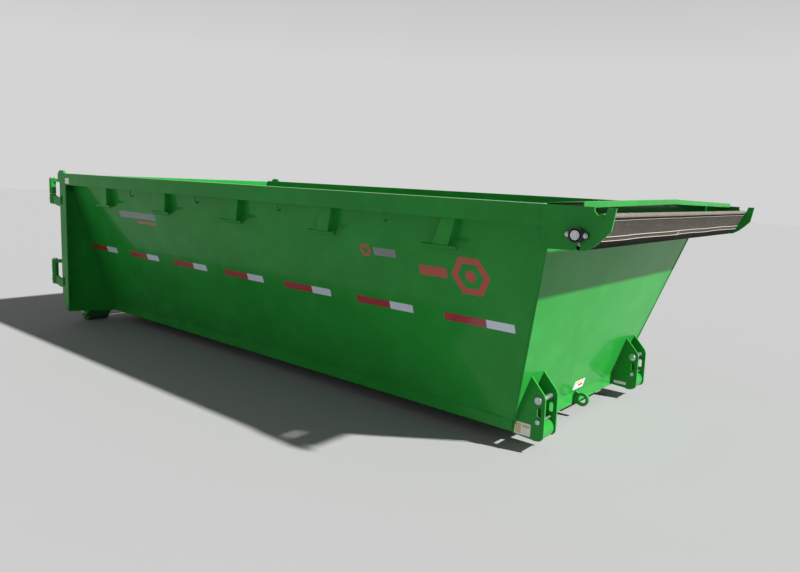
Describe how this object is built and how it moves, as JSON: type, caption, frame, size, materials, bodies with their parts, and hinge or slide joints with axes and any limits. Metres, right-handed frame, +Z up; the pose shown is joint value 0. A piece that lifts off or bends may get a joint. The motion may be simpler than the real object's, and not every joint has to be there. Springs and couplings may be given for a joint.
{
  "type": "roll-off dump container",
  "caption": "Open tapered tub with a raked front wall, swinging rear door, corner rollers and a tarp roller; rides on a roll-off dump trailer or truck.",
  "frame": {"origin": "middle of the container's outline, on the ground it stands on", "axes": "+X towards the front wall and tarp roller, +Y to the left, +Z up"},
  "size_m": [5.398, 2.592, 1.443],
  "materials": {
    "green_paint": "high-gloss green enamel over steel plate, with light dust and scuffs",
    "zinc_steel": "bright zinc-plated steel",
    "black_casting": "black painted cast housing",
    "roller_steel": "dark green paint, scuffed to steel on the tread",
    "tarp_mesh": "grey-brown coated polyester mesh"
  },
  "bodies": {
    "tub": {"bottom_rails": "green_paint", "corner_lugs": "green_paint", "corner_panels": "green_paint", "cross_members": "green_paint", "floor_plate": "green_paint", "front_cross_tube": "green_paint", "front_header": "green_paint", "front_wall": "green_paint", "hinge_brackets": "green_paint", "hinge_pins": "zinc_steel", "latch_keepers": "green_paint", "long_rails": "green_paint", "nose_pins": "zinc_steel", "nose_plates_left": "green_paint", "nose_plates_right": "green_paint", "pull_hook": "green_paint", "rail_stubs_left": "green_paint", "rail_stubs_right": "green_paint", "rear_posts": "green_paint", "rear_roller_brackets": "green_paint", "rear_sill": "green_paint", "rope_hooks": "green_paint", "side_wall_left": "green_paint", "side_wall_right": "green_paint", "tarp_bearings": "black_casting", "tarp_bracket_left": "green_paint", "tarp_bracket_right": "green_paint", "tarp_flap": "tarp_mesh", "tarp_pull_bar": "green_paint", "top_rail_left": "green_paint", "top_rail_right": "green_paint"},
    "nose_roller_right": {"nose_roller_right": "green_paint"},
    "nose_roller_left": {"nose_roller_left": "green_paint"},
    "rear_roller_right": {"rear_roller_right": "roller_steel"},
    "rear_roller_left": {"rear_roller_left": "roller_steel"},
    "tarp_spool": {"tarp_roller": "zinc_steel", "tarp_roll": "tarp_mesh"},
    "door": {"rear_door": "green_paint", "door_frame": "green_paint", "hinge_straps": "green_paint", "latch_guides": "green_paint"},
    "door_latch": {"latch_rod": "green_paint"}
  },
  "joints": [
    {"name": "nose_roller_right_spin", "type": "hinge", "parent": "tub", "child": "nose_roller_right", "pos_m": [2.153, -0.699, 0.125], "axis": [0, 1, 0], "continuous": true},
    {"name": "nose_roller_left_spin", "type": "hinge", "parent": "tub", "child": "nose_roller_left", "pos_m": [2.153, 0.699, 0.125], "axis": [0, 1, 0], "continuous": true},
    {"name": "rear_roller_right_spin", "type": "hinge", "parent": "tub", "child": "rear_roller_right", "pos_m": [-2.586, -0.905, 0.075], "axis": [0, 1, 0], "continuous": true},
    {"name": "rear_roller_left_spin", "type": "hinge", "parent": "tub", "child": "rear_roller_left", "pos_m": [-2.586, 0.905, 0.075], "axis": [0, 1, 0], "continuous": true},
    {"name": "tarp_roller_spin", "type": "hinge", "parent": "tub", "child": "tarp_spool", "pos_m": [2.534, 0, 1.277], "axis": [0, 1, 0], "continuous": true},
    {"name": "rear_door_swing", "type": "hinge", "parent": "tub", "child": "door", "pos_m": [-2.671, -1.24, 0.695], "axis": [0, 0, 1], "range_deg": [0, 265]},
    {"name": "latch_lift", "type": "slide", "parent": "door", "child": "door_latch", "axis": [0, 0, 1], "range_m": [-0.06, 0]}
  ]
}
